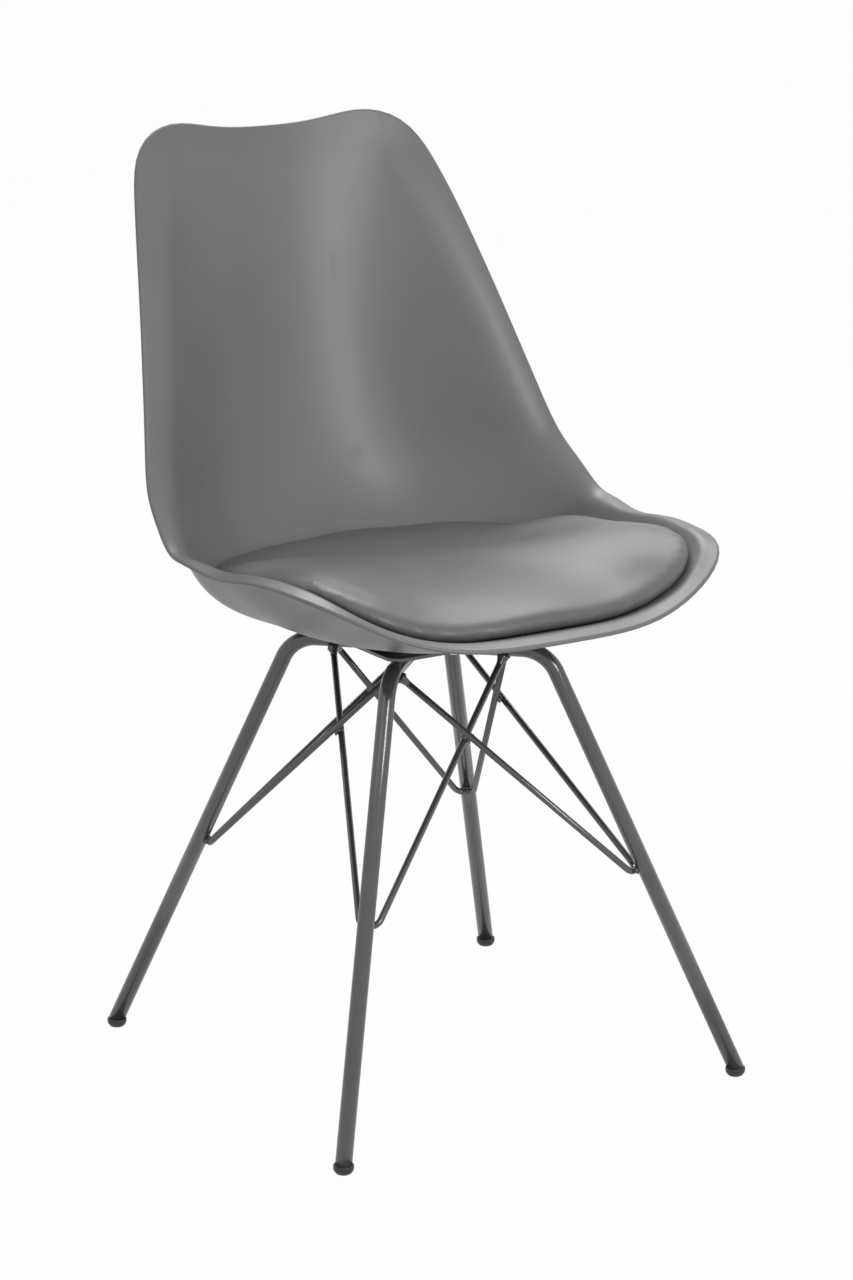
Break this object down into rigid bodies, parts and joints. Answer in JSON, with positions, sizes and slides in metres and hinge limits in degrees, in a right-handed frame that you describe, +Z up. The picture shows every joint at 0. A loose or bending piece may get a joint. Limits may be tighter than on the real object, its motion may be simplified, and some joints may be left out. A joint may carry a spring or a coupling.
{
  "type": "moulded shell chair",
  "caption": "Side chair with a moulded plastic bucket shell, a smooth seat pad and splayed steel tube legs braced with crossed rods.",
  "frame": {"origin": "On the floor, under the middle of the chair's width and depth. The middle between the four feet lies 18.3 mm in front of it.", "axes": "+Z up, -Y the way the sitter faces, X across the chair."},
  "size_m": [0.468, 0.5197, 0.8516],
  "materials": {
    "shell_plastic": "satin grey moulded polypropylene",
    "pad_cover": "smooth semi-gloss grey artificial leather",
    "pad_foam": "open cell foam",
    "base_disc": "plain moulded plastic",
    "coated_tube": "satin dark grey powder coat",
    "coated_rod": "satin dark grey powder coat",
    "coated_plate": "satin dark grey powder coat",
    "cap_plastic": "black moulded plastic",
    "screw_steel": "zinc plated",
    "pad_rubber": "black rubber",
    "insert_brass": "plain brass"
  },
  "bodies": {
    "root": {"seat_shell": "shell_plastic", "seat_pad_cover": "pad_cover", "seat_pad_foam": "pad_foam", "seat_pad_base": "base_disc", "leg_front_left": "coated_tube", "leg_front_right": "coated_tube", "leg_rear_left": "coated_tube", "leg_rear_right": "coated_tube", "brace_front_left": "coated_rod", "brace_front_right": "coated_rod", "brace_rear_left": "coated_rod", "brace_rear_right": "coated_rod", "foot_cap_front_left": "cap_plastic", "foot_cap_front_right": "cap_plastic", "foot_cap_rear_left": "cap_plastic", "foot_cap_rear_right": "cap_plastic", "mounting_plate": "coated_plate", "plate_screws": "screw_steel", "plate_washers": "screw_steel", "rubber_pads": "pad_rubber", "threaded_inserts": "insert_brass"}
  },
  "joints": []
}
